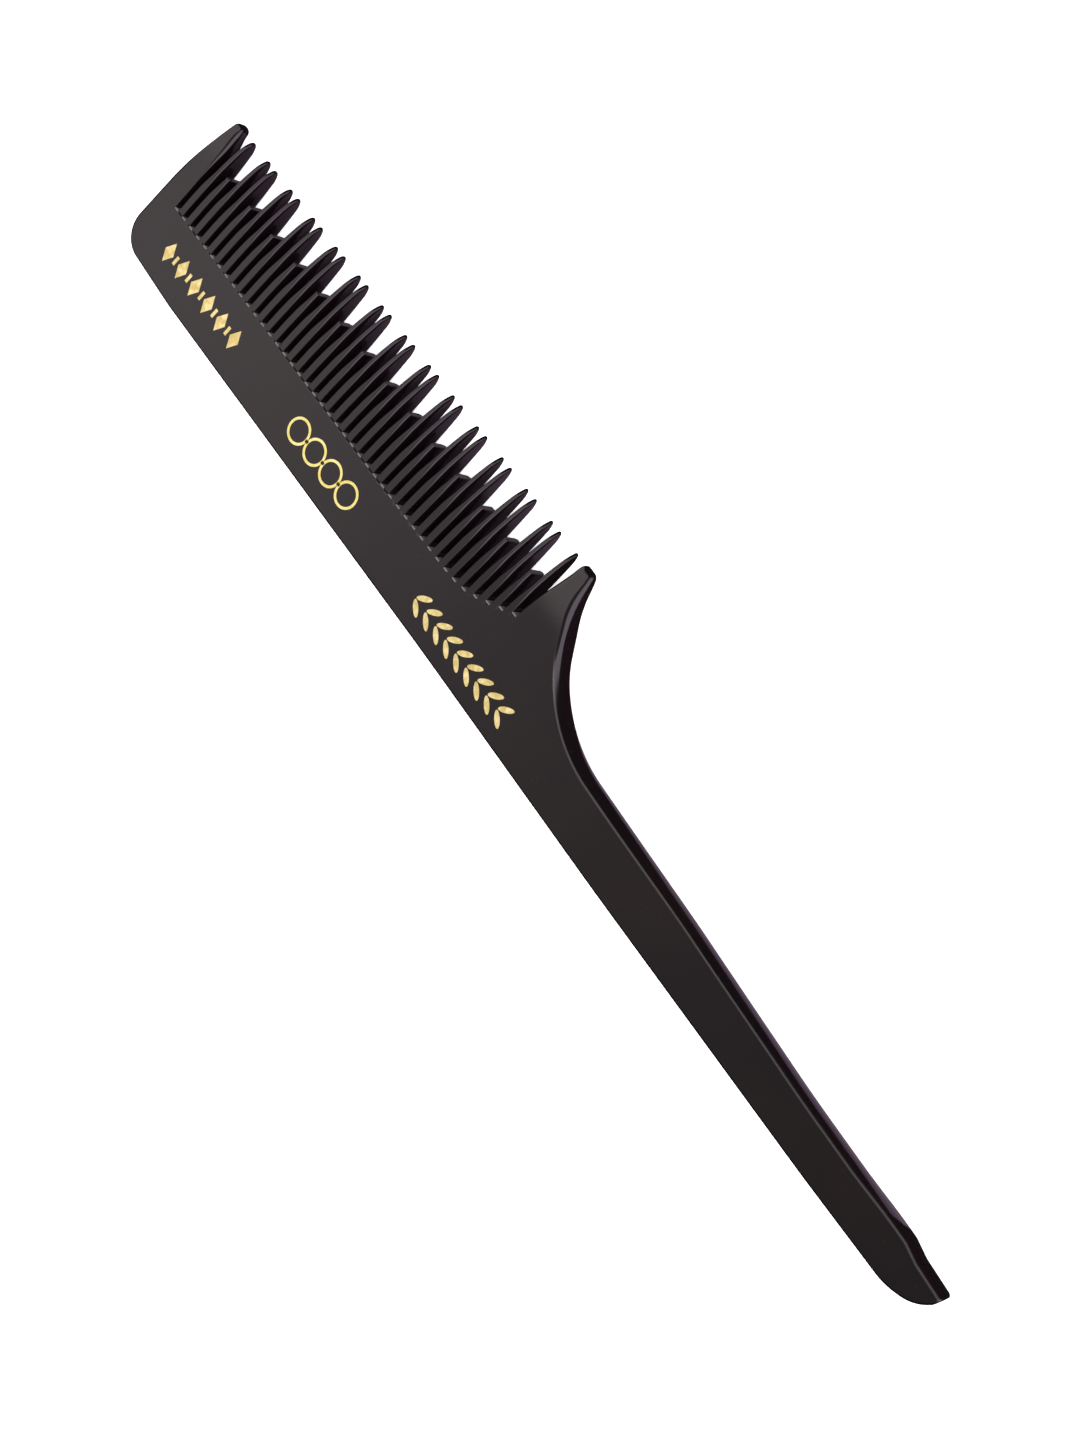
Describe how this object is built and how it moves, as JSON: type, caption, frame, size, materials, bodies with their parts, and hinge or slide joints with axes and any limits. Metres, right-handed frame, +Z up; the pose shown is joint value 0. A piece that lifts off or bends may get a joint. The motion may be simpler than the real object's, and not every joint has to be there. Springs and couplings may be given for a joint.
{
  "type": "rat tail comb",
  "caption": "Black rat tail comb: long teeth in pairs with short ones between, a guard at each end, a slim flat tail and gold foil motifs.",
  "frame": {"origin": "bottom centre of the bounding box, on the surface that the comb lies on", "axes": "+X from the head towards the tail, +Y towards the tooth points, +Z up out of the face with the foil"},
  "size_m": [0.2143, 0.0296, 0.0048],
  "materials": {
    "acetate": "hand-polished black cellulose acetate, glossy, faintly uneven",
    "gold_foil": "hot-stamped gold foil, satin",
    "pale_foil": "hot-stamped pale gold foil, satin"
  },
  "bodies": {
    "root": {"back": "acetate", "front_guard": "acetate", "rear_guard": "acetate", "tail": "acetate", "tooth_01": "acetate", "tooth_02": "acetate", "tooth_03": "acetate", "tooth_04": "acetate", "tooth_05": "acetate", "tooth_06": "acetate", "tooth_07": "acetate", "tooth_08": "acetate", "tooth_09": "acetate", "tooth_10": "acetate", "tooth_11": "acetate", "tooth_12": "acetate", "tooth_13": "acetate", "tooth_14": "acetate", "tooth_15": "acetate", "tooth_16": "acetate", "tooth_17": "acetate", "tooth_18": "acetate", "tooth_19": "acetate", "tooth_20": "acetate", "tooth_21": "acetate", "tooth_22": "acetate", "tooth_23": "acetate", "tooth_24": "acetate", "tooth_25": "acetate", "tooth_26": "acetate", "tooth_27": "acetate", "tooth_28": "acetate", "tooth_29": "acetate", "tooth_30": "acetate", "tooth_31": "acetate", "tooth_32": "acetate", "tooth_33": "acetate", "tooth_34": "acetate", "tooth_35": "acetate", "tooth_36": "acetate", "tooth_37": "acetate", "tooth_38": "acetate", "tooth_39": "acetate", "tooth_40": "acetate", "tooth_41": "acetate", "tooth_42": "acetate", "front_foil": "gold_foil", "middle_foil": "pale_foil", "rear_foil": "gold_foil"}
  },
  "joints": []
}
